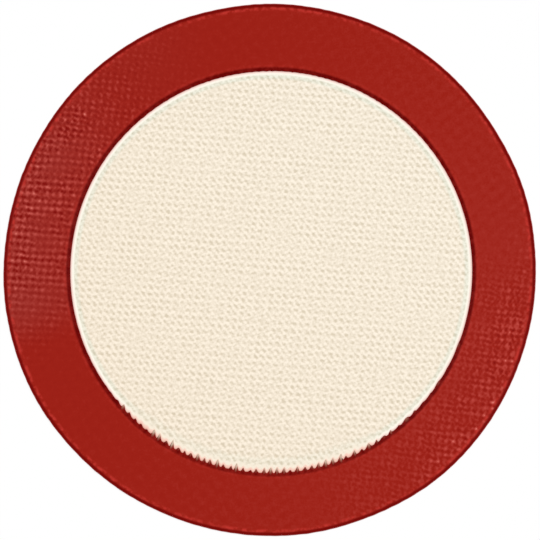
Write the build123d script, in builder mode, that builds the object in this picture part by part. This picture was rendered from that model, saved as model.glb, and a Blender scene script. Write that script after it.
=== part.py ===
from build123d import *
from math import sqrt
import os

# A round silicone baking mat: two silicone coats on a woven glass cloth, a printed border and a sealed edge.
# It lies on the XY plane, with its underside at Z = 0, its centre on the Z axis and its warp along Y.
# Sizes are in millimetres and angles in degrees.

# The whole mat
mat_diameter = 200.0
edge_seal_width = 0.8

# The printed border round the pale field, which sits a little off centre as printed
border_width = 24.3
field_shift_x = 0.52
field_shift_y = -0.48

# Thickness of each layer, from the underside up
bottom_skin = 0.14
warp_thickness = 0.16
weft_thickness = 0.16
top_skin = 0.14
print_thickness = 0.10

# Glass cloth: flattened yarns with sloping sides, ten to the inch each way
warp_pitch = 2.54
warp_width = 1.20
weft_pitch = 2.54
weft_width = 1.24
yarn_side_slope = 45.0

# Silicone left between the cut ends of the yarns and the edge seal
yarn_end_cover = 0.3

# Slope of the printed border's inner lip, measured down and across
print_lip = 0.05

# Radii and heights that follow from the sizes above
mat_radius = mat_diameter / 2
coat_radius = mat_radius - edge_seal_width
cloth_radius = coat_radius - yarn_end_cover
field_radius = mat_radius - border_width
cloth_middle = bottom_skin + warp_thickness
coat_top = cloth_middle + weft_thickness + top_skin
mat_thickness = coat_top + print_thickness
rim_start = mat_radius - mat_thickness / 2


def yarns_across(pitch, width):
    """The place and the length of each yarn that crosses the cloth, its corners on the cloth's round outline."""
    count = int(2 * cloth_radius / pitch)
    for number in range(count):
        place = (number - (count - 1) / 2) * pitch
        outer_side = abs(place) + width / 2
        yield place, 2 * sqrt(cloth_radius**2 - outer_side**2)


os.makedirs("parts", exist_ok=True)

# Warp yarns: they run along Y under the weft, and narrow downwards
with BuildPart() as warp_yarns:
    with BuildSketch(Plane.XY.offset(cloth_middle)):
        for place, length in yarns_across(warp_pitch, warp_width):
            with Locations((place, 0)):
                Rectangle(warp_width, length)
    extrude(amount=-warp_thickness, taper=yarn_side_slope)
warp_yarns.part.label = "warp_yarns"
export_step(warp_yarns.part, "parts/warp_yarns.step")

# Weft yarns: they run along X, narrow upwards, and touch the warp at every crossing
with BuildPart() as weft_yarns:
    with BuildSketch(Plane.XY.offset(cloth_middle)):
        for place, length in yarns_across(weft_pitch, weft_width):
            with Locations((0, place)):
                Rectangle(length, weft_width)
    extrude(amount=weft_thickness, taper=yarn_side_slope)
weft_yarns.part.label = "weft_yarns"
export_step(weft_yarns.part, "parts/weft_yarns.step")

# Bottom coat: silicone under the cloth and between the warp yarns
with BuildPart() as bottom_coat:
    with BuildSketch():
        Circle(coat_radius)
    extrude(amount=cloth_middle)
    add(warp_yarns.part, mode=Mode.SUBTRACT)
bottom_coat.part.label = "bottom_coat"
export_step(bottom_coat.part, "parts/bottom_coat.step")

# Top coat: silicone over the cloth and between the weft yarns. It meets the bottom coat in the cloth's windows
with BuildPart() as top_coat:
    with BuildSketch(Plane.XY.offset(cloth_middle)):
        Circle(coat_radius)
    extrude(amount=coat_top - cloth_middle)
    add(weft_yarns.part, mode=Mode.SUBTRACT)
top_coat.part.label = "top_coat"
export_step(top_coat.part, "parts/top_coat.step")

# Printed border: a ring of coloured silicone on the top coat, with a sloping lip round the field
with BuildPart() as border_print:
    with BuildSketch(Plane.XY.offset(coat_top)):
        Circle(coat_radius)
        with Locations((field_shift_x, field_shift_y)):
            Circle(field_radius, mode=Mode.SUBTRACT)
    extrude(amount=print_thickness)
    chamfer(border_print.edges().group_by(Axis.Z)[-1].sort_by(SortBy.RADIUS)[0], length=print_lip)
border_print.part.label = "border_print"
export_step(border_print.part, "parts/border_print.step")

# Edge seal: a bead with a half-round rim that closes the cut edge of the coats
with BuildPart() as edge_seal:
    with BuildSketch(Plane.XZ):
        with BuildLine():
            Polyline((rim_start, 0), (coat_radius, 0), (coat_radius, mat_thickness), (rim_start, mat_thickness))
            RadiusArc((rim_start, mat_thickness), (rim_start, 0), mat_thickness / 2)
        make_face()
    revolve(axis=Axis.Z)
edge_seal.part.label = "edge_seal"
export_step(edge_seal.part, "parts/edge_seal.step")
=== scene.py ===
from math import cos, pi, radians, sin

import bpy
import numpy as np
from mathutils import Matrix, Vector


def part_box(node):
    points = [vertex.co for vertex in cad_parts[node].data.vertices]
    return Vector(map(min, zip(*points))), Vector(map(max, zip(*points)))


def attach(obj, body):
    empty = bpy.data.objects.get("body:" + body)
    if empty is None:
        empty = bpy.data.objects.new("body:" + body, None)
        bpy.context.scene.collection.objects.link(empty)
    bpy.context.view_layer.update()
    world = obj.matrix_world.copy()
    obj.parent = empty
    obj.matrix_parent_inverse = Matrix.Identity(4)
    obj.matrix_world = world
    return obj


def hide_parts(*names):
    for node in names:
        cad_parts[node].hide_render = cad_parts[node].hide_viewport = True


# A round silicone baking mat seen from straight above: a pale working face whose woven cloth shows as relief,
# a printed red border with a jagged inner edge, a darker sealed rim, and the woven glass yarns inside.
# The CAD model lies on the XY plane with its warp along Y. Lengths here are in metres.

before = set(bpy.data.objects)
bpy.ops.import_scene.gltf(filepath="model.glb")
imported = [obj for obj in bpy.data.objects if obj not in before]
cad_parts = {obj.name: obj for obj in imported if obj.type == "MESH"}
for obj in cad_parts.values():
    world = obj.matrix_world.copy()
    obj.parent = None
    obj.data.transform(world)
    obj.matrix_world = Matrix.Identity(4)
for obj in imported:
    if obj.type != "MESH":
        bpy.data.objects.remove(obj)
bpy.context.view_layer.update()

MM = 0.001

# Sizes read from the CAD model
MAT_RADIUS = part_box("edge_seal")[1].x
MAT_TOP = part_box("edge_seal")[1].z
COAT_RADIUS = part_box("top_coat")[1].x
COAT_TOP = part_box("top_coat")[1].z
CLOTH_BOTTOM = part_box("warp_yarns")[0].z
CLOTH_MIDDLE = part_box("warp_yarns")[1].z
CLOTH_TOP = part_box("weft_yarns")[1].z

# The photograph: its side in pixels, the size of a pixel on the mat, and how far the camera is turned
PHOTO_SIDE = 540
PIXEL = 0.3752 * MM
PHOTO_TURN = radians(5.5)
MAT_CENTRE_PIXELS = (-0.08, -0.26)

# The weave as photographed: the way across each set of yarns, its step, and its count of yarns at the centre
WARP_ACROSS = radians(-2.53)
WARP_STEP = 2.5124 * MM
WARP_START = -0.225
WEFT_ACROSS = radians(91.60)
WEFT_STEP = 2.6116 * MM
WEFT_START = 0.062

# The pale field inside the printed border, a little off centre and a little oval
FIELD_X = 0.56 * MM
FIELD_Y = -0.40 * MM
FIELD_RADIUS = 75.29 * MM
FIELD_OVAL = 0.15 * MM
OVAL_DIRECTION = radians(20)

# The waver of the mat's outer edge: waves round the mat, their size in millimetres and the angle of their
# crest, then a finer stray, and where the waver sets in
OUTER_WAVER = ((3, 0.198, 242), (4, 0.114, 131), (6, 0.096, 79), (5, 0.056, 309), (2, 0.047, 314),
               (7, 0.045, 65), (10, 0.043, 195), (15, 0.040, 257), (8, 0.039, 23), (11, 0.038, 193))
FINE_WAVER = 0.035 * MM
FINE_WAVER_SIZE = 2.0 * MM
WAVER_RISE = (88 * MM, 99 * MM)

# How close two vertices of a seam lie, on a sheet and on a ring, and the sharpest edges shaded smooth
SHEET_SEAM = 1e-7
RING_SEAM = 1e-6
SHEET_SMOOTH = radians(40)
RING_SMOOTH = radians(50)
YARN_SMOOTH = radians(60)


def only(piece):
    """Selects one piece and nothing else, and makes it the active one."""
    bpy.ops.object.select_all(action="DESELECT")
    piece.select_set(True)
    bpy.context.view_layer.objects.active = piece


def points(piece):
    """The places of a piece's vertices, one row each."""
    flat = np.empty(3 * len(piece.data.vertices))
    piece.data.vertices.foreach_get("co", flat)
    return flat.reshape(-1, 3)


def face_middles(piece):
    """The places of the middles of a piece's faces, one row each."""
    flat = np.empty(3 * len(piece.data.polygons))
    piece.data.polygons.foreach_get("center", flat)
    return flat.reshape(-1, 3)


def place(piece, x, y, z):
    """Moves a piece's vertices to these places. A single number stands for all of them."""
    spots = np.stack(np.broadcast_arrays(x, y, z), 1)
    piece.data.vertices.foreach_set("co", np.ascontiguousarray(spots, np.float32).ravel())
    piece.data.update()


def new_grid(name, columns, rows):
    """A flat grid, with the place of each of its vertices across and along it, from 0 to 1."""
    bpy.ops.object.select_all(action="DESELECT")
    bpy.ops.mesh.primitive_grid_add(x_subdivisions=columns, y_subdivisions=rows, size=2)
    piece = bpy.context.active_object
    piece.name = name
    piece.data.name = name
    spots = points(piece)
    return piece, (spots[:, 0] + 1) / 2, (spots[:, 1] + 1) / 2


def new_ring(name, columns, rows):
    """A grid to wrap round the mat, with the row of each of its vertices and its angle round the mat."""
    piece, across, along = new_grid(name, columns, rows - 1)
    return piece, np.rint(along * (rows - 1)).astype(int), 2 * pi * across


def in_edit(piece, *steps):
    """Runs operators on a piece in edit mode."""
    only(piece)
    bpy.ops.object.mode_set(mode="EDIT")
    for step in steps:
        step()
    bpy.ops.object.mode_set(mode="OBJECT")


def pick_all():
    """Selects all of the piece that is being edited."""
    bpy.ops.mesh.select_all(action="SELECT")


def pick_open_edge():
    """Selects the open edge of the piece that is being edited."""
    bpy.ops.mesh.select_mode(type="EDGE")
    bpy.ops.mesh.select_all(action="DESELECT")
    bpy.ops.mesh.select_non_manifold(
        use_wire=False, use_multi_face=False, use_non_contiguous=False, use_verts=False
    )


def turn_out():
    """Turns every selected face of the piece that is being edited outwards."""
    bpy.ops.mesh.normals_make_consistent(inside=False)


def picked_points(piece):
    """Which vertices of a piece are selected."""
    flags = np.empty(len(piece.data.vertices), bool)
    piece.data.vertices.foreach_get("select", flags)
    return flags


def extrude_open_edge(piece, move):
    """Extrudes the open edge of a piece and moves its new vertices."""
    in_edit(piece, pick_open_edge, bpy.ops.mesh.extrude_region_move)
    spots = points(piece)
    chosen = picked_points(piece)
    spots[chosen] = move(spots[chosen])
    place(piece, *spots.T)


def delete_faces(piece, flags):
    """Deletes the flagged faces of a piece."""
    mesh = piece.data
    mesh.vertices.foreach_set("select", np.zeros(len(mesh.vertices), bool))
    mesh.edges.foreach_set("select", np.zeros(len(mesh.edges), bool))
    mesh.polygons.foreach_set("select", flags)
    in_edit(
        piece,
        lambda: bpy.ops.mesh.select_mode(type="FACE"),
        lambda: bpy.ops.mesh.delete(type="FACE"),
    )


def shade(piece, angle):
    """Shades a piece smooth, but for edges sharper than the angle."""
    only(piece)
    bpy.ops.object.shade_smooth_by_angle(angle=angle)


def give_values(piece, **values):
    """Stores numbers for each vertex of a piece under their names, which its material reads."""
    for name, numbers in values.items():
        layer = piece.data.attributes.new(name, "FLOAT", "POINT")
        layer.data.foreach_set("value", np.ascontiguousarray(numbers, np.float32))


def smooth_step(low, high, x):
    """0 below low, 1 above high, and an easy slope between them."""
    t = np.clip((x - low) / (high - low), 0, 1)
    return t * t * (3 - 2 * t)


def blend(first, second, share):
    """The first value where the share is 0 and the second where it is 1."""
    return first + (second - first) * share


def wave(turns):
    """1 at every whole number and -1 halfway between them."""
    return np.cos(2 * pi * turns)


def hump(turns):
    """1 at every whole number and 0 halfway between them."""
    return 0.5 + 0.5 * wave(turns)


# Random fields: how many waves they sum, how long those are in lumps, and the scale that keeps them within
# about 1, then the side of the table that gives each cell of the weave its luck
DRIFT_WAVES = 14
SHORTEST_WAVE = 1.4
LONGEST_WAVE = 3.2
DRIFT_SCALE = 0.7 * (2 / DRIFT_WAVES) ** 0.5
LUCK_SIDE = 160


def drift(x, y, size, seed):
    """A smooth random field from about -1 to 1, whose lumps are about as wide as size."""
    chance = np.random.default_rng(seed)
    total = np.zeros_like(x)
    for _ in range(DRIFT_WAVES):
        turn = chance.uniform(0, 2 * pi)
        length = size * chance.uniform(SHORTEST_WAVE, LONGEST_WAVE)
        start = chance.uniform(0, 2 * pi)
        total += np.cos(2 * pi * (x * cos(turn) + y * sin(turn)) / length + start)
    return total * DRIFT_SCALE


def per_cell(u, v, seed):
    """A random number from -1 to 1 for each cell of the weave."""
    table = np.random.default_rng(seed).uniform(-1, 1, (LUCK_SIDE, LUCK_SIDE))
    return table[np.floor(u).astype(int) % LUCK_SIDE, np.floor(v).astype(int) % LUCK_SIDE]


def per_crossing(u, v, seed):
    """A random number from -1 to 1 for each crossing of yarns."""
    return per_cell(u + 0.5, v + 0.5, seed)


def crossing_bump(u, v):
    """1 on each crossing of yarns, easing to 0 on the lines halfway between yarns."""
    return np.cos(pi * (u - np.rint(u))) * np.cos(pi * (v - np.rint(v)))


def weave_place(x, y):
    """Counts the yarns up to a point: whole numbers lie on the middle of a warp or weft yarn."""
    u = (x * cos(WARP_ACROSS) + y * sin(WARP_ACROSS)) / WARP_STEP + WARP_START
    v = (x * cos(WEFT_ACROSS) + y * sin(WEFT_ACROSS)) / WEFT_STEP + WEFT_START
    return u, v


def point_of_weave(u, v):
    """The point at these counts of warp and weft yarns."""
    across = (u - WARP_START) * WARP_STEP
    along = (v - WEFT_START) * WEFT_STEP
    a, b = cos(WARP_ACROSS), sin(WARP_ACROSS)
    c, d = cos(WEFT_ACROSS), sin(WEFT_ACROSS)
    whole = a * d - b * c
    return (across * d - along * b) / whole, (along * a - across * c) / whole


# How far the yarns stray from their straight lines, as parts of a step, over long and short stretches
LONG_STRAY = 0.05
LONG_STRETCH = 9 * MM
SHORT_STRAY = 0.020
SHORT_STRETCH = 1.8 * MM


def stray(x, y, long_seed, short_seed):
    """How far one set of yarns strays from its straight lines at a point."""
    long_stray = LONG_STRAY * drift(x, y, LONG_STRETCH, long_seed)
    return long_stray + SHORT_STRAY * drift(x, y, SHORT_STRETCH, short_seed)


def stray_place(x, y):
    """Counts the yarns up to a point, with their stray from straight lines."""
    u, v = weave_place(x, y)
    return u + stray(x, y, long_seed=11, short_seed=17), v + stray(x, y, long_seed=12, short_seed=18)


# The relief of the cloth: its waves along each set of yarns and across their slant, the unevenness of those
# waves, the luck of single windows, two grains, the sums that count as a window's floor and as a crest, and
# the limits of the outcome
WARP_WAVE = 0.16
WEFT_WAVE = 0.33
SLANT_WAVE = 0.53
WAVE_LEVEL = 0.90
WAVE_UNEVEN = 0.22
WAVE_STRETCH = 7 * MM
WINDOW_LUCK = 0.18
COARSE_GRAIN = 0.11
COARSE_GRAIN_SIZE = 1.6 * MM
FINE_GRAIN = 0.22
FINE_GRAIN_SIZE = 0.62 * MM
WINDOW_SUM = -1.0
CREST_SUM = 0.6
WEAVE_LIMITS = (-0.25, 1.3)


def field_weave(x, y):
    """The weave under the pale coat: 0 in a window, about 1 on the slanting ridges between windows."""
    u, v = stray_place(x, y)
    height = WARP_WAVE * wave(u) + WEFT_WAVE * wave(v) - SLANT_WAVE * wave(u + v)
    window = (1 - hump(u)) * (1 - hump(v))
    height = height * (WAVE_LEVEL + WAVE_UNEVEN * drift(x, y, WAVE_STRETCH, seed=13))
    height = height + WINDOW_LUCK * window * per_cell(u, v, seed=14)
    height = height + COARSE_GRAIN * drift(x, y, COARSE_GRAIN_SIZE, seed=15)
    height = height + FINE_GRAIN * drift(x, y, FINE_GRAIN_SIZE, seed=16)
    return np.clip((height - WINDOW_SUM) / (CREST_SUM - WINDOW_SUM), *WEAVE_LIMITS)


def photo_angle(x, y):
    """The angle of a point round the mat as the photograph shows it, in degrees from 0 to 360."""
    return np.degrees(np.arctan2(y, x) - PHOTO_TURN) % 360


def between(angle, start, end, soft):
    """1 where an angle lies between start and end, counted upwards, and 0 outside, with soft ends."""
    middle = (start + end) / 2
    half = (end - start) / 2
    away = np.abs((angle - middle + 180) % 360 - 180)
    return 1 - smooth_step(half - soft, half + soft, away)


def edge_waver(x, y):
    """How far the outer edge strays outwards from a true circle at the angle of each point."""
    turn = np.radians(photo_angle(x, y))
    total = np.zeros_like(x)
    for order, size, crest in OUTER_WAVER:
        total += size * MM * np.cos(order * turn - radians(crest))
    rim_x = MAT_RADIUS * np.cos(turn)
    rim_y = MAT_RADIUS * np.sin(turn)
    return total + FINE_WAVER * drift(rim_x, rim_y, FINE_WAVER_SIZE, seed=21)


def follow_waver(piece):
    """Moves the vertices near a piece's outer edge in or out with its waver."""
    x, y, z = points(piece).T
    radius = np.hypot(x, y)
    scale = 1 + edge_waver(x, y) * smooth_step(*WAVER_RISE, radius) / np.maximum(radius, MM)
    place(piece, x * scale, y * scale, z)


def finish_silicone(piece, seam, smooth):
    """Gives a piece the mat's waver, merges its seams, turns its faces outwards and shades it."""
    follow_waver(piece)
    in_edit(piece, pick_all, lambda: bpy.ops.mesh.remove_doubles(threshold=seam), turn_out)
    shade(piece, smooth)


def opening_radius(turn):
    """The radius of the printed border's opening about the field's centre, apart from its spikes."""
    return FIELD_RADIUS + FIELD_OVAL * np.cos(2 * (turn - PHOTO_TURN - OVAL_DIRECTION))


# The spikes of the border's inner edge, one to a warp yarn: the zones where they are tall and low, each with
# its start, its end and its softness in degrees of the photograph, their heights there and elsewhere, and how
# uneven they are
JAGGED_ZONE = (224, 301, 7)
TALL_ZONE = (222, 303, 6)
LOW_ZONE = (303, 345, 5)
TALL_SPIKE = 2.0 * MM
LOW_SPIKE = 0.60 * MM
LEAST_SPIKE = 0.16 * MM
SPIKE_LEVEL = 0.80
SPIKE_UNEVEN = 0.22
SPIKE_STRETCH = 3.5 * MM
SPIKE_LUCK = 0.42
SPIKE_FOOT = 0.24
SPIKE_STRAY = 0.11
SPIKE_STRAY_STRETCH = 2.2 * MM
SPIKE_SHARPNESS = 2.0


def jagged(x, y):
    """1 where the printed border's inner edge has tall spikes, 0 where it is smooth."""
    return between(photo_angle(x - FIELD_X, y - FIELD_Y), *JAGGED_ZONE)


def spike_at(x, y):
    """1 on the middle of each spike of the jagged edge and 0 between two of them."""
    u, _ = weave_place(x, y)
    return hump(u + SPIKE_STRAY * drift(x, 0 * x, SPIKE_STRAY_STRETCH, seed=32)) ** SPIKE_SHARPNESS


def spike_reach(x, y):
    """How far the red spikes of the jagged inner edge reach into the pale field, along the warp."""
    angle = photo_angle(x - FIELD_X, y - FIELD_Y)
    u, _ = weave_place(x, y)
    tall = TALL_SPIKE * between(angle, *TALL_ZONE) + LOW_SPIKE * between(angle, *LOW_ZONE) + LEAST_SPIKE
    uneven = SPIKE_LEVEL + SPIKE_UNEVEN * drift(x, 0 * x, SPIKE_STRETCH, seed=31)
    uneven = uneven + SPIKE_LUCK * per_crossing(u, 0 * u, seed=33)
    return tall * (uneven * spike_at(x, y) - SPIKE_FOOT)


# Sheets cut from a grid along the weave: cells to spare round the circle, and the gap left to the glass cloth
SPARE_CELLS = 2
CLOTH_GAP = 0.005 * MM


def relief_sheet(name, middle, radius, margin, warp_samples, weft_samples):
    """A grid along the weave, cut to a circle on which its open edge lies, and the places of its vertices."""
    warps = int(radius / WARP_STEP) + SPARE_CELLS
    wefts = int(radius / WEFT_STEP) + SPARE_CELLS
    piece, across, along = new_grid(name, 2 * warps * warp_samples, 2 * wefts * weft_samples)
    place(piece, *point_of_weave((2 * across - 1) * warps, (2 * along - 1) * wefts), 0.0)
    centres = face_middles(piece)
    delete_faces(piece, np.hypot(centres[:, 0] - middle[0], centres[:, 1] - middle[1]) > radius - margin)
    in_edit(piece, pick_open_edge)
    x, y, _ = points(piece).T
    from_x = x - middle[0]
    from_y = y - middle[1]
    pull = np.where(picked_points(piece), radius / np.hypot(from_x, from_y), 1)
    return piece, middle[0] + from_x * pull, middle[1] + from_y * pull


def close_sheet(piece, height):
    """Closes a sheet with a side wall to a height and one flat face there."""
    extrude_open_edge(piece, lambda p: np.stack([p[:, 0], p[:, 1], np.full(len(p), height)], 1))
    in_edit(piece, pick_open_edge, bpy.ops.mesh.edge_face_add)
    finish_silicone(piece, SHEET_SEAM, SHEET_SMOOTH)


# The working face: how far its relief runs on under the border, how it sinks in the windows and rises on the
# crests, where it sets in beside the print, how much the spikes narrow the bands of colour beside them, and
# the direction in which its warm shade fades
RELIEF_RADIUS = 77.0 * MM
RELIEF_MARGIN = 0.2 * MM
FACE_WARP_SAMPLES = 6
FACE_WEFT_SAMPLES = 5
WINDOW_DEPTH = 0.085 * MM
CREST_RISE = 0.015 * MM
FACE_RELIEF_RISE = (0.4 * MM, 1.3 * MM)
SPIKE_SHADE_SHARE = 0.35
LEAST_DOWNWARD = 0.3
SPIKY_BAND_CUT = 0.45
WARMTH_DIRECTION = PHOTO_TURN + pi / 4


def make_face():
    """The working face: a sheet of pale silicone with the cloth's relief, which is flat under the border."""
    face, x, y = relief_sheet(
        "working_face", (FIELD_X, FIELD_Y), RELIEF_RADIUS, RELIEF_MARGIN, FACE_WARP_SAMPLES, FACE_WEFT_SAMPLES
    )
    turn = np.arctan2(y - FIELD_Y, x - FIELD_X)
    spiky = jagged(x, y)
    reach = spike_reach(x, y)
    reach = np.where(reach > 0, SPIKE_SHADE_SHARE * reach, reach)
    downward = np.maximum(-np.sin(turn - PHOTO_TURN), LEAST_DOWNWARD)
    to_print = opening_radius(turn) - reach * downward - np.hypot(x - FIELD_X, y - FIELD_Y)
    relief = smooth_step(*FACE_RELIEF_RISE, to_print)
    weave = field_weave(x, y)
    place(face, x, y, COAT_TOP - WINDOW_DEPTH * (1 - weave) * relief + CREST_RISE * relief)
    to_upper_right = x * cos(WARMTH_DIRECTION) + y * sin(WARMTH_DIRECTION)
    give_values(
        face,
        weave=weave,
        to_print=to_print / MM * (1 - SPIKY_BAND_CUT * spiky),
        spiky=spiky,
        warmth=np.clip(0.5 - 0.5 * to_upper_right / FIELD_RADIUS, 0, 1),
    )
    widening = COAT_RADIUS / RELIEF_RADIUS
    extrude_open_edge(face, lambda p: (p - (FIELD_X, FIELD_Y, 0)) * (widening, widening, 1))
    close_sheet(face, CLOTH_TOP + CLOTH_GAP)
    return face


# The underside: its samples to a yarn, the depth of its relief, and the strip along its edge where that ends
UNDER_SAMPLES = 4
UNDER_MARGIN = 0.3 * MM
UNDER_DEPTH = 0.06 * MM
UNDER_RELIEF_FADE = (COAT_RADIUS - 1.2 * MM, COAT_RADIUS - 0.2 * MM)


def make_underside():
    """The underside: a sheet of the same silicone whose crests rest on the table."""
    under, x, y = relief_sheet("underside", (0, 0), COAT_RADIUS, UNDER_MARGIN, UNDER_SAMPLES, UNDER_SAMPLES)
    weave = np.clip(field_weave(-x, y), 0, 1)
    relief = 1 - smooth_step(*UNDER_RELIEF_FADE, np.hypot(x, y))
    place(under, x, y, UNDER_DEPTH * (1 - weave) * relief)
    give_values(under, weave=weave)
    close_sheet(under, CLOTH_BOTTOM - CLOTH_GAP)
    return under


# The printed border's section: steps of its inner lip, each with its distance inwards in millimetres and its
# share of the print's height, then even rows to the outer edge. The spikes fade out over the first rows
LIP_STEPS = ((0.0, 0.0), (0.02, 0.45), (0.06, 0.75), (0.13, 0.93),
             (0.24, 1.0), (0.42, 1.0), (0.62, 1.0), (0.85, 1.0))
TOP_ROWS = 50
BORDER_COLUMNS = 1500
PRINT_HEIGHT = MAT_TOP - COAT_TOP
BORDER_WIDTH = COAT_RADIUS - FIELD_RADIUS
SPIKE_FADE = 1.3 * MM

# How the weave shows through the print, in its relief and in the shade and highlights painted on it. Here and
# below a zone has a start, an end and a softness, and a rise or a fade has a start and an end: in degrees of
# the photograph round the mat, or in metres from its middle
OUTWARD_RISE = (77 * MM, 96 * MM)
LEFT_HALF = (90, 250, 20)
ROWS_ZONE = (150, 205, 15)

# The painted sheen over the left of the print, and its least shares at the lip and at the top
SHEEN_ZONE = (112, 250, 12)
SHEEN_FADE = (187, 199)
SHEEN_CLIMB = (128, 156)
SHEEN_LIP_SHARE = 0.60
SHEEN_TOP_SHARE = 0.25

# The strength of the weave's relief and of its painted shade and highlights at the left and at the lower
# right, with its least shares there, and elsewhere
LEFT_START = (100, 118)
LEFT_CLIMB = (112, 152)
LEFT_FADE = (174, 205)
LEFT_TOP_SHARE = 0.12
LEFT_LIP_SHARE = 0.72
LEFT_STRENGTH = 1.18
RIGHT_START = (-82, -66)
RIGHT_CLIMB = (-80, -15)
RIGHT_FADE = (-16, 8)
RIGHT_BOTTOM_SHARE = 0.25
RIGHT_LIP_SHARE = 0.45
RIGHT_LIP_POWER = 1.5
RIGHT_STRENGTH = 0.82
LEAST_STRENGTH = 0.03
STRENGTH_LEVEL = 0.9
STRENGTH_UNEVEN = 0.25
STRENGTH_STRETCH = 8 * MM

# Where each warp and weft yarn has its painted highlight, on the side that catches the light, in yarns from
# its
# middle: at the right, at the upper left and in the zone of rows. At the left it moves with the height in the
# photograph
CLIMB_UNIT = 100 * PIXEL
RIGHT_SHIFTS = (0.52, -0.40)
UPPER_LEFT_SHIFTS = (-0.60, -0.29)
ROWS_SHIFTS = (-0.50, 0.0865)
WARP_SHIFT_CLIMB = 0.40
WARP_CLIMB_LIMIT = 0.9
UPPER_LEFT_WEFT_CLIMB = 0.40
ROWS_WEFT_CLIMB = 0.21

# The painted shade and highlights of the weave: its waves along each set of yarns, outside and inside the
# zone of rows, its slanting wave at the upper left, its unevenness and its luck
PRINT_WARP_WAVES = (0.172, 0.150)
PRINT_WEFT_WAVES = (0.135, 0.250)
LEFT_WEFT_CUT = 0.025
SLANT_ZONE = (110, 152, 8)
PRINT_SLANT_WAVE = 0.09
SLANT_START = 0.27
TINT_LEVEL = 0.95
TINT_UNEVEN = 0.30
TINT_STRETCH = 3.5 * MM
CROSSING_LUCK = 0.24
FINE_LUCK = 0.25
FINE_LUCK_SIZE = 0.65 * MM
LEFT_LUCK_CUT = 0.28

# Sparks of light on single crossings: the zones where they lie, how they rise outwards, and their sharpness
SPARK_ZONE = (306, 336, 8)
SPARK_RISE = (89 * MM, 95 * MM)
FAINT_SPARK_ZONE = (-25, 10, 10)
FAINT_SPARK_RISE = (86 * MM, 94 * MM)
FAINT_SPARK_SHARE = 0.30
SPARK_CHANCE = (-0.3, 0.9)
SPARK_SHARPNESS = 4
SPARK_TINT = 0.65

# The relief of the weave in the print, and the strips along both edges where the weave doesn't show
RED_RELIEF = 0.050 * MM
RELIEF_START = 0.25
RELIEF_WARP_SHARES = (0.5, 0.3)
RELIEF_LUCK = 0.3
LIP_RISE = (0.8 * MM, 2.5 * MM)
OUTER_FADE = (-1.0 * MM, -0.3 * MM)

# The print's own tone, made a little lighter towards the right by a painted sheen, and the limits of its tint
TONE = 0.508
TONE_SHEEN_SWING = 0.050
TONE_SHEEN_ANGLE = -15
TONE_UNEVEN = 0.020
TONE_SIZE = 1.6 * MM
TINT_LIMITS = (-0.1, 1.5)


def print_section():
    """How far inwards each row of the border lies, and its height as a share of the print's."""
    lip_width = LIP_STEPS[-1][0] * MM
    inwards = [step * MM for step, _ in LIP_STEPS]
    heights = [height for _, height in LIP_STEPS]
    for row in range(1, TOP_ROWS + 1):
        inwards.append(lip_width + (BORDER_WIDTH - lip_width) * row / TOP_ROWS)
        heights.append(1.0)
    inwards += [BORDER_WIDTH, 0.0]
    heights += [0.0, 0.0]
    return np.array(inwards), np.array(heights)


def print_haze(angle, outwards):
    """How much sheen is painted on the print: most at the left, and more towards the outer edge."""
    haze = between(angle, *SHEEN_ZONE) * (1 - smooth_step(*SHEEN_FADE, angle))
    haze = haze * blend(SHEEN_LIP_SHARE, 1, outwards)
    return haze * blend(SHEEN_TOP_SHARE, 1, smooth_step(*SHEEN_CLIMB, angle))


def print_strength(x, y, angle, outwards):
    """How strongly the weave's relief and painted shade show: most at the left and the lower right."""
    left = smooth_step(*LEFT_START, angle) * blend(LEFT_TOP_SHARE, 1, smooth_step(*LEFT_CLIMB, angle))
    left = left * (1 - smooth_step(*LEFT_FADE, angle)) * blend(LEFT_LIP_SHARE, 1, outwards)
    from_right = (angle + 180) % 360 - 180
    right = smooth_step(*RIGHT_START, from_right)
    right = right * blend(RIGHT_BOTTOM_SHARE, 1, smooth_step(*RIGHT_CLIMB, from_right))
    right = right * (1 - smooth_step(*RIGHT_FADE, from_right))
    right = right * blend(RIGHT_LIP_SHARE, 1, outwards**RIGHT_LIP_POWER)
    strength = LEAST_STRENGTH + LEFT_STRENGTH * left + RIGHT_STRENGTH * right
    return strength * (STRENGTH_LEVEL + STRENGTH_UNEVEN * drift(x, y, STRENGTH_STRETCH, seed=41))


def lit_place(x, y, on_left, by_rows):
    """Counts the yarns up to a point of the print: whole numbers lie on the side of a yarn with the painted
    highlight.
    """
    u, v = stray_place(x, y)
    climb = (y * cos(PHOTO_TURN) - x * sin(PHOTO_TURN)) / CLIMB_UNIT
    left_u = WARP_SHIFT_CLIMB * np.minimum(climb, WARP_CLIMB_LIMIT)
    left_u = left_u + blend(UPPER_LEFT_SHIFTS[0], ROWS_SHIFTS[0], by_rows)
    upper_v = UPPER_LEFT_SHIFTS[1] + UPPER_LEFT_WEFT_CLIMB * climb
    rows_v = ROWS_SHIFTS[1] + ROWS_WEFT_CLIMB * climb
    left_v = blend(upper_v, rows_v, by_rows)
    return u + blend(RIGHT_SHIFTS[0], left_u, on_left), v + blend(RIGHT_SHIFTS[1], left_v, on_left)


def print_luck(u, v):
    """The luck of single crossings in the print."""
    return per_crossing(u, v, seed=46) * crossing_bump(u, v)


def painted_weave_light(x, y, u, v, angle, on_left, by_rows):
    """How much the painted shade and highlights of the weave lighten the print at a point, before its
    strength there.
    """
    warp_wave = blend(*PRINT_WARP_WAVES, by_rows)
    weft_wave = blend(PRINT_WEFT_WAVES[0] - LEFT_WEFT_CUT * on_left, PRINT_WEFT_WAVES[1], by_rows)
    tint = warp_wave * wave(u) + weft_wave * wave(v)
    tint = tint * (TINT_LEVEL + TINT_UNEVEN * drift(x, y, TINT_STRETCH, seed=45))
    slant = PRINT_SLANT_WAVE * between(angle, *SLANT_ZONE)
    tint = tint + slant * wave(sum(weave_place(x, y)) + SLANT_START)
    luck = CROSSING_LUCK * print_luck(u, v) + FINE_LUCK * drift(x, y, FINE_LUCK_SIZE, seed=47)
    return tint + (1 - LEFT_LUCK_CUT * on_left) * luck


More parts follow.
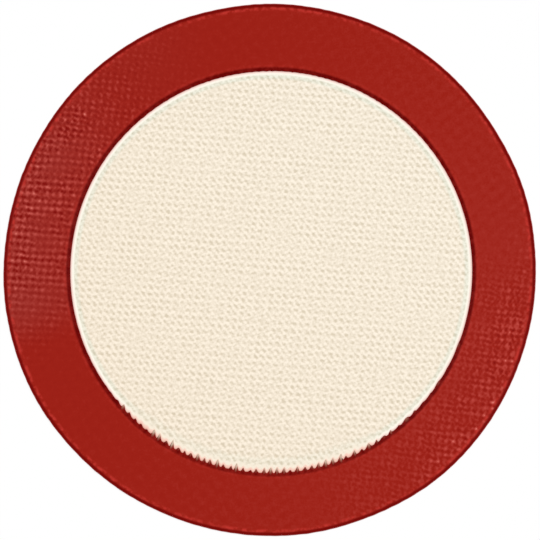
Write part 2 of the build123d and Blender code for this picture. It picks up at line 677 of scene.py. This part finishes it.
def print_sparks(u, v, angle, from_middle):
    """Up to 1 on bright crossings at the lower right, less on those at the right, and 0 elsewhere."""
    zone = between(angle, *SPARK_ZONE) * smooth_step(*SPARK_RISE, from_middle)
    faint = between(angle, *FAINT_SPARK_ZONE) * smooth_step(*FAINT_SPARK_RISE, from_middle)
    zone = zone + FAINT_SPARK_SHARE * faint
    spark = smooth_step(*SPARK_CHANCE, per_crossing(u, v, seed=48))
    return zone * spark * crossing_bump(u, v) ** SPARK_SHARPNESS


def print_relief(u, v, by_rows):
    """The relief of the weave in the print, from about -1 to 1, a quarter of a yarn beside its painted shade
    and highlight.
    """
    warp_share = blend(*RELIEF_WARP_SHARES, by_rows)
    relief = warp_share * wave(u + RELIEF_START) + (1 - warp_share) * wave(v + RELIEF_START)
    return relief + RELIEF_LUCK * print_luck(u, v)


def make_border():
    """The printed border: a ring wrapped from a grid, with a row at each step of its section."""
    inwards, heights = print_section()
    border, row, turn = new_ring("printed_border", BORDER_COLUMNS, len(inwards))
    inward = inwards[row]
    level = heights[row]
    part = inward / BORDER_WIDTH
    start_x = FIELD_X + opening_radius(turn) * np.cos(turn)
    start_y = FIELD_Y + opening_radius(turn) * np.sin(turn)
    reach = spike_reach(start_x, start_y) * np.exp(-((inward / SPIKE_FADE) ** 2))
    x = blend(start_x, COAT_RADIUS * np.cos(turn), part) - reach * sin(WARP_ACROSS)
    y = blend(start_y, COAT_RADIUS * np.sin(turn), part)
    y = y + reach * cos(WARP_ACROSS) * np.where(np.sin(turn) < 0, 1, -1)

    angle = photo_angle(x, y)
    from_middle = np.hypot(x, y)
    outwards = smooth_step(*OUTWARD_RISE, from_middle)
    on_left = between(angle, *LEFT_HALF)
    by_rows = between(angle, *ROWS_ZONE)
    strength = print_strength(x, y, angle, outwards)
    u, v = lit_place(x, y, on_left, by_rows)
    off_edges = smooth_step(*LIP_RISE, inward) * (1 - smooth_step(*OUTER_FADE, from_middle - COAT_RADIUS))
    relief = RED_RELIEF * strength * print_relief(u, v, by_rows) * off_edges * (level == 1)
    place(border, x, y, COAT_TOP + PRINT_HEIGHT * level + relief)

    # Painted sheen: the tone swings lighter towards the right.
    tone = TONE + TONE_SHEEN_SWING * np.cos(np.radians(angle - TONE_SHEEN_ANGLE))
    tone = tone + TONE_UNEVEN * drift(x, y, TONE_SIZE, seed=49)
    # Painted shade and highlights of the weave, and painted sparks on single crossings.
    lighter = painted_weave_light(x, y, u, v, angle, on_left, by_rows) * strength
    lighter = lighter + SPARK_TINT * print_sparks(u, v, angle, from_middle)
    give_values(
        border,
        tint=np.clip(tone + lighter * off_edges, *TINT_LIMITS),
        haze=print_haze(angle, outwards),
        strength=strength,
        tip=reach / MM,
        spiky=jagged(start_x, start_y),
        foot=spike_at(start_x, start_y),
        inward=inward / MM,
        outward=(COAT_RADIUS - from_middle) / MM,
    )
    finish_silicone(border, RING_SEAM, RING_SMOOTH)
    return border


# The sealed rim: its round side, and the strip along it that thins out
RIM_ROUND = MAT_TOP / 2
ROUND_STEPS = 14
RIM_COLUMNS = 1200
THIN_RISE = (MAT_RADIUS - 0.35 * MM, MAT_RADIUS - 0.05 * MM)


def make_rim():
    """The sealed rim: a bead with a half-round outer side."""
    section = [(COAT_RADIUS, 0.0), (COAT_RADIUS, MAT_TOP)]
    for step in range(ROUND_STEPS + 1):
        tilt = pi / 2 - pi * step / ROUND_STEPS
        section.append((MAT_RADIUS - RIM_ROUND + RIM_ROUND * cos(tilt), RIM_ROUND + RIM_ROUND * sin(tilt)))
    section.append((COAT_RADIUS, 0.0))
    rim, row, turn = new_ring("sealed_rim", RIM_COLUMNS, len(section))
    radius, height = np.array(section)[row].T
    place(rim, radius * np.cos(turn), radius * np.sin(turn), height)
    give_values(rim, outer=smooth_step(*THIN_RISE, radius))
    finish_silicone(rim, RING_SEAM, RING_SMOOTH)
    return rim


# The glass cloth: the step of its yarns, their section, and how far their ends stay inside the coats
YARN_STEP = 2.54 * MM
YARN_WIDTH = 1.2 * MM
YARN_HEIGHT = CLOTH_MIDDLE - CLOTH_BOTTOM
YARN_END = COAT_RADIUS - 0.9 * MM
YARN_TRIM = 0.05 * MM
YARN_PRESS_SHARE = 0.98
YARN_SIDES = 6
SAMPLES_PER_CROSSING = 2


def make_yarn(name, samples):
    """One yarn along X, six-sided and one metre long, with closed ends."""
    yarn, across, along = new_grid(name, samples, YARN_SIDES)
    side = 2 * pi * along
    beside = (YARN_WIDTH - YARN_TRIM) / 2 * np.cos(side)
    place(yarn, across - 0.5, beside, YARN_HEIGHT / 2 * YARN_PRESS_SHARE * np.sin(side))
    in_edit(
        yarn,
        pick_all,
        lambda: bpy.ops.mesh.remove_doubles(threshold=SHEET_SEAM),
        pick_open_edge,
        bpy.ops.mesh.edge_face_add,
    )
    return yarn


def lay_yarns(name, along_y):
    """The yarns of one set, each cut to the round outline and waved over and under the other set."""
    count = int(2 * YARN_END / YARN_STEP)
    first = make_yarn(name, count * SAMPLES_PER_CROSSING)
    share, beside, height = points(first).T
    yarns = [first]
    for _ in range(1, count):
        copy = first.copy()
        copy.data = first.data.copy()
        bpy.context.collection.objects.link(copy)
        yarns.append(copy)
    for number, yarn in enumerate(yarns):
        middle = (number - (count - 1) / 2) * YARN_STEP
        half = (YARN_END**2 - (abs(middle) + YARN_WIDTH / 2) ** 2) ** 0.5
        run = share * 2 * half
        crossing = run / YARN_STEP + (count - 1) / 2
        over = 1 if (number % 2 == 0) == along_y else -1
        level = CLOTH_MIDDLE + YARN_HEIGHT / 2 * over * np.cos(pi * crossing) + height
        if along_y:
            place(yarn, middle + beside, run, level)
        else:
            place(yarn, run, -middle - beside, level)
    bpy.ops.object.select_all(action="DESELECT")
    for yarn in yarns:
        yarn.select_set(True)
    bpy.context.view_layer.objects.active = first
    bpy.ops.object.join()
    in_edit(first, pick_all, turn_out)
    shade(first, YARN_SMOOTH)
    return first


face = make_face()
under = make_underside()
border = make_border()
rim = make_rim()
warp = lay_yarns("warp_of_glass", True)
weft = lay_yarns("weft_of_glass", False)


# Sockets of the Mix node when it mixes colours
MIX_FACTOR = 0
MIX_FIRST = 6
MIX_SECOND = 7
MIX_COLOUR = 2


class Wire:
    """An output socket in a material's node tree. Sums on it add the Math nodes that work them out."""

    def __init__(self, tree, socket):
        self.tree = tree
        self.socket = socket

    def sum_of(self, operation, *values):
        """Adds a Math node that works on these values."""
        return add_node(self.tree, "ShaderNodeMath", {"operation": operation}, dict(enumerate(values)))

    def __add__(self, other):
        return self.sum_of("ADD", self, other)

    __radd__ = __add__

    def __sub__(self, other):
        return self.sum_of("SUBTRACT", self, other)

    def __rsub__(self, other):
        return self.sum_of("SUBTRACT", other, self)

    def __mul__(self, other):
        return self.sum_of("MULTIPLY", self, other)

    __rmul__ = __mul__

    def step(self, low, high):
        """0 below low, 1 above high, and an easy slope between them."""
        settings = {"interpolation_type": "SMOOTHSTEP"}
        inputs = {"Value": self, "From Min": low, "From Max": high}
        return add_node(self.tree, "ShaderNodeMapRange", settings, inputs)

    def mix(self, way, first, second):
        """Mixes two colours in this way, with this wire as the share."""
        settings = {"data_type": "RGBA", "blend_type": way}
        inputs = {MIX_FACTOR: self, MIX_FIRST: first, MIX_SECOND: second}
        return add_node(self.tree, "ShaderNodeMix", settings, inputs, MIX_COLOUR)

    def between_colours(self, first, second):
        """The first colour where this is 0 and the second where it is 1."""
        return self.mix("MIX", first, second)

    def tinted(self, base, tint):
        """The base colour where this is 0, and the base colour times the tint where it is 1."""
        return self.mix("MULTIPLY", base, tint)

    def through(self, *colours):
        """The first of these colours where this is 0, and the next one at each half more."""
        reached = colours[0]
        for number, following in enumerate(colours[1:]):
            reached = (self * 2 - number).between_colours(reached, following)
        return reached


def add_node(tree, kind, settings, inputs, output=0):
    """Adds a node to a tree, sets it and its inputs, and gives one of its outputs, if it has any."""
    node = tree.nodes.new(kind)
    for name, value in settings.items():
        setattr(node, name, value)
    for key, value in inputs.items():
        if isinstance(value, Wire):
            tree.links.new(value.socket, node.inputs[key])
        else:
            node.inputs[key].default_value = value
    return Wire(tree, node.outputs[output]) if node.outputs else None


def colour(red, green, blue):
    """A linear colour with full alpha."""
    return (red, green, blue, 1.0)


def new_material(name):
    """An empty node material and its tree."""
    material = bpy.data.materials.new(name)
    material.use_nodes = True
    material.node_tree.nodes.clear()
    return material, material.node_tree


def value_of(tree, name):
    """Reads one of the numbers stored on a piece's vertices."""
    return add_node(tree, "ShaderNodeAttribute", {"attribute_name": name}, {}, "Fac")


def own_place(tree):
    """The place of a point in the piece's own space."""
    return add_node(tree, "ShaderNodeTexCoord", {}, {}, "Object")


def noise_of(tree, scale, detail):
    """Noise through the piece's own space, about 0.5 in the middle."""
    inputs = {"Vector": own_place(tree), "Scale": scale, "Detail": detail}
    return add_node(tree, "ShaderNodeTexNoise", {}, inputs)


def stripes(tree, step, photo_direction, start):
    """Even waves across the piece, from -1 to 1, that repeat along a direction of the photograph."""
    direction = radians(photo_direction) + PHOTO_TURN
    across = (2 * pi / step * cos(direction), 2 * pi / step * sin(direction), 0.0)
    settings = {"operation": "DOT_PRODUCT"}
    along = add_node(tree, "ShaderNodeVectorMath", settings, {0: own_place(tree), 1: across}, "Value")
    turn = along + 2 * pi * start
    return turn.sum_of("COSINE", turn)


def background_rays(tree):
    """1 for the rays that show the background: those of the camera, and mirrored or refracted ones."""
    straight, mirrored, refracted = [
        add_node(tree, "ShaderNodeLightPath", {}, {}, name)
        for name in ("Is Camera Ray", "Is Glossy Ray", "Is Transmission Ray")
    ]
    return straight.sum_of("MAXIMUM", straight.sum_of("MAXIMUM", straight, mirrored), refracted)


SILICONE_IOR = 1.41


def silicone(name, look):
    """A silicone material. Its look is a function that gives its colour, roughness and gloss in a tree."""
    material, tree = new_material(name)
    base, rough, gloss = look(tree)
    inputs = {"Base Color": base, "Roughness": rough, "IOR": SILICONE_IOR, "Specular IOR Level": gloss}
    shader = add_node(tree, "ShaderNodeBsdfPrincipled", {}, inputs)
    add_node(tree, "ShaderNodeOutputMaterial", {}, {"Surface": shader})
    return material


# The pale silicone, with painted shade in the windows of the cloth and its plain colour on the crests, its
# warm shade towards the lower left, and the bands beside the print, from the print outwards: where it bleeds,
# a blush, a pale band and a shade beyond it
PALE_WITH_WINDOW_SHADE = colour(0.702, 0.612, 0.467)
CREST_PALE = colour(0.985, 0.895, 0.758)
WARM_SHADE = colour(0.987, 0.962, 0.941)
PRINT_BLEED = colour(0.500, 0.140, 0.110)
SPIKY_BLEED = colour(0.520, 0.150, 0.100)
BLUSH = colour(0.930, 0.710, 0.640)
SPIKY_BLUSH = colour(0.930, 0.595, 0.490)
BAND_PALE = colour(0.985, 0.935, 0.820)
SPIKY_BAND = colour(0.925, 0.825, 0.680)
BAND_SHADE = colour(0.905, 0.985, 1.000)

# Where each band gives way to the next, in millimetres from the print
BLEED_END = (-0.28, 0.43)
BLUSH_END = (0.40, 0.9)
BAND_END = (1.05, 1.75)
SHADE_END = (2.2, 3.4)
SPIKY_SHADE_CUT = 0.6

# Fine ribs in the pale coat: their height, their step, the direction across them and where they start
FINE_RIBS = ((0.090, 1.6148 * MM, -73.73, -0.037), (0.048, 1.7196 * MM, 67.68, 0.315))
GRAIN_SCALE = 1400.0
GRAIN_DETAIL = 1.0
PALE_GRAIN = 1.1
PALE_GLOSS = 0.3
WINDOW_ROUGHNESS = 0.62
CREST_SMOOTHING = 0.12
UNDER_ROUGHNESS = 0.6


def pale_look(tree):
    """Cream silicone, with painted shade in the windows of the cloth, a blush and a lighter band along the
    print.
    """
    weave_here = value_of(tree, "weave") + PALE_GRAIN * (noise_of(tree, GRAIN_SCALE, GRAIN_DETAIL) - 0.5)
    for height, step, direction, start in FINE_RIBS:
        weave_here = weave_here + height * stripes(tree, step, direction, start)
    away = value_of(tree, "to_print")
    spiky_here = value_of(tree, "spiky")
    # Painted shade: the windows of the cloth are darker and the crests lighter.
    body = weave_here.between_colours(PALE_WITH_WINDOW_SHADE, CREST_PALE)
    body = value_of(tree, "warmth").tinted(body, WARM_SHADE)
    shadow = (1 - away.step(*SHADE_END)) * (1 - SPIKY_SHADE_CUT * spiky_here)
    beyond = shadow.tinted(body, BAND_SHADE)
    pale = spiky_here.between_colours(BAND_PALE, SPIKY_BAND)
    band = away.step(*BAND_END).between_colours(pale, beyond)
    pink = spiky_here.between_colours(BLUSH, SPIKY_BLUSH)
    blush = away.step(*BLUSH_END).between_colours(pink, band)
    bleed = spiky_here.between_colours(PRINT_BLEED, SPIKY_BLEED)
    base = away.step(*BLEED_END).between_colours(bleed, blush)
    return base, WINDOW_ROUGHNESS - CREST_SMOOTHING * weave_here, PALE_GLOSS


def under_look(tree):
    """The same silicone on the underside, with the same painted shade in the windows."""
    return value_of(tree, "weave").between_colours(PALE_WITH_WINDOW_SHADE, CREST_PALE), UNDER_ROUGHNESS, PALE_GLOSS


# The print's reds: three tones of its body, from painted shade to painted highlight, the same under the
# painted sheen at the left, its painted sparks, the dark line and the painted highlight along its edges, and
# the brown and pale ends of its spikes, then the reds of the rim
RED_LOW = colour(0.222, 0.0016, 0.0008)
RED_BODY = colour(0.328, 0.0138, 0.0072)
RED_HIGH = colour(0.520, 0.0650, 0.0510)
SHEENED_LOW = colour(0.228, 0.0040, 0.0022)
SHEENED_BODY = colour(0.334, 0.0280, 0.0205)
SHEENED_HIGH = colour(0.505, 0.0780, 0.0640)
RED_SPARK = colour(0.850, 0.2800, 0.2200)
RED_LINE = colour(0.128, 0.0002, 0.0001)
RED_PAINTED_EDGE_HIGHLIGHT = colour(0.510, 0.0340, 0.0250)
SPIKE_BROWN = colour(0.300, 0.0900, 0.0600)
SPIKE_TIP = colour(0.600, 0.4600, 0.3500)
RIM_LINE = colour(0.180, 0.0018, 0.0009)
RIM_BLUSH = colour(0.520, 0.1500, 0.1450)
RED_GLOSS = 0.035
PRINT_ROUGHNESS = 0.30
RIM_ROUGHNESS = 0.42

# The print's grain where the weave doesn't show, what the weave adds to it, and the blotches of its painted
# edge highlight
RED_GRAIN = 0.13
WEAVE_GRAIN = 0.32
BLOTCH_SCALE = 560.0
BLOTCH_DETAIL = 2.0
BLOTCH_RISE = (0.36, 0.68)

# Where the print's lines and painted edge highlights end, in millimetres from its inner or outer edge, and
# their shares
OUTER_LINE_END = (0.1, 1.05)
OUTER_HIGHLIGHT_END = (1.0, 2.2)
LIP_HIGHLIGHT_END = (2.0, 3.0)
LIP_HIGHLIGHT_SHARE = 0.35
LIP_LINE_END = (0.96, 2.02)
SPIKY_LINE_SHIFT = 0.35
SPIKY_LINE_CUT = 0.34
BLOTCH_LINE_CUT = 0.20

# How far a spike reaches, in millimetres, where it turns brown and where its tip pales
BROWN_REACH = (0.3, 0.9)
TIP_REACH = (0.7, 1.6)


def print_look(tree):
    """Red printed silicone: painted shade and highlights on its weave, dark lines along its edges and a
    painted highlight beside them.
    """
    grain = RED_GRAIN + WEAVE_GRAIN * value_of(tree, "strength")
    tint_here = value_of(tree, "tint") + grain * (noise_of(tree, GRAIN_SCALE, GRAIN_DETAIL) - 0.5)
    haze_here = value_of(tree, "haze")
    # Painted sheen: the reds turn hazier and pinker at the left.
    low = haze_here.between_colours(RED_LOW, SHEENED_LOW)
    middle = haze_here.between_colours(RED_BODY, SHEENED_BODY)
    high = haze_here.between_colours(RED_HIGH, SHEENED_HIGH)
    # The tint runs from painted shade through the print's body to painted highlight and painted sparks.
    body = tint_here.through(low, middle, high, RED_SPARK)

    inward_here = value_of(tree, "inward")
    outward_here = value_of(tree, "outward")
    blotch = noise_of(tree, BLOTCH_SCALE, BLOTCH_DETAIL).step(*BLOTCH_RISE)
    # A blotchy painted highlight along the outer edge and beside the lip.
    outer_painted_highlight = (1 - outward_here.step(*OUTER_HIGHLIGHT_END)) * blotch
    body = outer_painted_highlight.between_colours(body, RED_PAINTED_EDGE_HIGHLIGHT)
    lip_painted_highlight = (1 - inward_here.step(*LIP_HIGHLIGHT_END)) * (LIP_HIGHLIGHT_SHARE * blotch)
    body = lip_painted_highlight.between_colours(body, RED_PAINTED_EDGE_HIGHLIGHT)
    body = outward_here.step(*OUTER_LINE_END).between_colours(RIM_LINE, body)

    spiky_here = value_of(tree, "spiky")
    line = 1 - (inward_here - SPIKY_LINE_SHIFT * spiky_here).step(*LIP_LINE_END)
    line = line * (1 - spiky_here * (SPIKY_LINE_CUT - SPIKY_LINE_CUT * value_of(tree, "foot")))
    line = line * (1 - BLOTCH_LINE_CUT * blotch)
    base = line.between_colours(body, RED_LINE)
    tip_here = value_of(tree, "tip")
    base = tip_here.step(*BROWN_REACH).between_colours(base, SPIKE_BROWN)
    base = tip_here.step(*TIP_REACH).between_colours(base, SPIKE_TIP)
    return base, PRINT_ROUGHNESS, RED_GLOSS


def rim_look(tree):
    """The darker red of the sealed rim, a little paler where its outer side thins out."""
    return value_of(tree, "outer").between_colours(RIM_LINE, RIM_BLUSH), RIM_ROUGHNESS, RED_GLOSS


GLASS_COLOUR = colour(0.86, 0.86, 0.84)
GLASS_ROUGHNESS = 0.35
GLASS_IOR = 1.52


def glass_yarn():
    """Bright glass fibre."""
    material, tree = new_material("glass_yarn")
    inputs = {"Base Color": GLASS_COLOUR, "Roughness": GLASS_ROUGHNESS, "IOR": GLASS_IOR}
    shader = add_node(tree, "ShaderNodeBsdfPrincipled", {}, inputs)
    add_node(tree, "ShaderNodeOutputMaterial", {}, {"Surface": shader})
    return material


def wear(piece, material):
    """Gives a piece one material."""
    piece.data.materials.clear()
    piece.data.materials.append(material)


wear(face, silicone("pale_silicone", pale_look))
wear(under, silicone("pale_silicone_underside", under_look))
wear(border, silicone("red_silicone", print_look))
wear(rim, silicone("red_silicone_rim", rim_look))
glass = glass_yarn()
wear(warp, glass)
wear(weft, glass)

for piece, nodes, slot in (
    (face, ["top_coat"], "pale_silicone"),
    (under, ["bottom_coat"], "pale_silicone"),
    (border, ["border_print"], "red_silicone"),
    (rim, ["edge_seal"], "red_silicone"),
    (warp, ["warp_yarns"], "glass_yarn"),
    (weft, ["weft_yarns"], "glass_yarn"),
):
    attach(piece, "root")
    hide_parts(*nodes)


# The floor and the surroundings
FLOOR_SIDE = 4.0
FLOOR_DROP = 0.02 * MM
FLOOR_COLOUR = colour(0.98, 0.98, 0.98)
FLOOR_GLOW_SHARE = 0.90
WHITE = colour(1.0, 1.0, 1.0)
WORLD_LEVEL = 0.632


def make_floor():
    """A white floor that keeps the mat's shadow, and that the camera sees as white."""
    bpy.ops.object.select_all(action="DESELECT")
    bpy.ops.mesh.primitive_plane_add(size=FLOOR_SIDE, location=(0, 0, -FLOOR_DROP))
    floor = bpy.context.active_object
    floor.name = "floor"
    material, tree = new_material("floor_white")
    diffuse = add_node(tree, "ShaderNodeBsdfDiffuse", {}, {"Color": FLOOR_COLOUR})
    glow = add_node(tree, "ShaderNodeEmission", {}, {"Color": WHITE, "Strength": 1.0})
    share = FLOOR_GLOW_SHARE * background_rays(tree)
    mixed = add_node(tree, "ShaderNodeMixShader", {}, {0: share, 1: diffuse, 2: glow})
    add_node(tree, "ShaderNodeOutputMaterial", {}, {"Surface": mixed})
    wear(floor, material)
    return floor


def make_world():
    """White surroundings, dimmer as a light than as the background."""
    world = bpy.data.worlds.new("studio")
    bpy.context.scene.world = world
    world.use_nodes = True
    tree = world.node_tree
    tree.nodes.clear()
    surround = add_node(tree, "ShaderNodeBackground", {}, {"Color": WHITE, "Strength": WORLD_LEVEL})
    backdrop = add_node(tree, "ShaderNodeBackground", {}, {"Color": WHITE, "Strength": 1.0})
    mixed = add_node(tree, "ShaderNodeMixShader", {}, {0: background_rays(tree), 1: surround, 2: backdrop})
    add_node(tree, "ShaderNodeOutputWorld", {}, {"Surface": mixed})


def turned(photo_x, photo_y):
    """A point of the photograph in the model's own axes."""
    x = photo_x * cos(PHOTO_TURN) - photo_y * sin(PHOTO_TURN)
    y = photo_x * sin(PHOTO_TURN) + photo_y * cos(PHOTO_TURN)
    return x, y


def add_sun(name, photo_azimuth, elevation, level, softness):
    """A sun that shines from an angle of the photograph, and lights a level surface by the given share."""
    light = bpy.data.lights.new(name, "SUN")
    light.energy = level * pi / sin(radians(elevation))
    light.angle = radians(softness)
    lamp = bpy.data.objects.new(name, light)
    bpy.context.collection.objects.link(lamp)
    lamp.rotation_euler = (0, radians(90 - elevation), radians(photo_azimuth) + PHOTO_TURN)


LAMP_HEIGHT = 0.50
LAMP_SIZE = 0.06


def add_lamp(name, photo_x, photo_y, level):
    """A square lamp over a point of the photograph that faces the mat's middle and adds a share of light."""
    light = bpy.data.lights.new(name, "AREA")
    light.shape = "SQUARE"
    light.size = LAMP_SIZE
    away = Vector((*turned(photo_x, photo_y), LAMP_HEIGHT))
    slope = LAMP_HEIGHT / away.length
    light.energy = level * pi**2 * away.length**2 / slope
    lamp = bpy.data.objects.new(name, light)
    bpy.context.collection.objects.link(lamp)
    lamp.location = away
    lamp.rotation_euler = away.to_track_quat("Z", "Y").to_euler()


# The camera's lens and sensor in millimetres, and the nearest and farthest that it sees
LENS = 100.0
SENSOR = 36.0
NEAREST_SEEN = 0.01
FARTHEST_SEEN = 20


def add_camera():
    """A camera that looks straight down, as the photograph does."""
    view = bpy.data.cameras.new("camera")
    view.lens = LENS
    view.sensor_width = SENSOR
    view.clip_start = NEAREST_SEEN
    view.clip_end = FARTHEST_SEEN
    camera = bpy.data.objects.new("camera", view)
    bpy.context.collection.objects.link(camera)
    x, y = turned(-MAT_CENTRE_PIXELS[0] * PIXEL, -MAT_CENTRE_PIXELS[1] * PIXEL)
    camera.location = (x, y, MAT_TOP + PHOTO_SIDE * PIXEL * LENS / SENSOR)
    camera.rotation_euler = (0, 0, PHOTO_TURN)
    bpy.context.scene.camera = camera


floor = make_floor()
make_world()
add_sun("key_light", photo_azimuth=39, elevation=40, level=0.31, softness=12)
add_lamp("left_lamp", photo_x=-0.175, photo_y=0.030, level=0.042)
add_lamp("right_lamp", photo_x=0.150, photo_y=-0.070, level=0.045)
add_camera()

bpy.context.scene.view_settings.view_transform = "Standard"
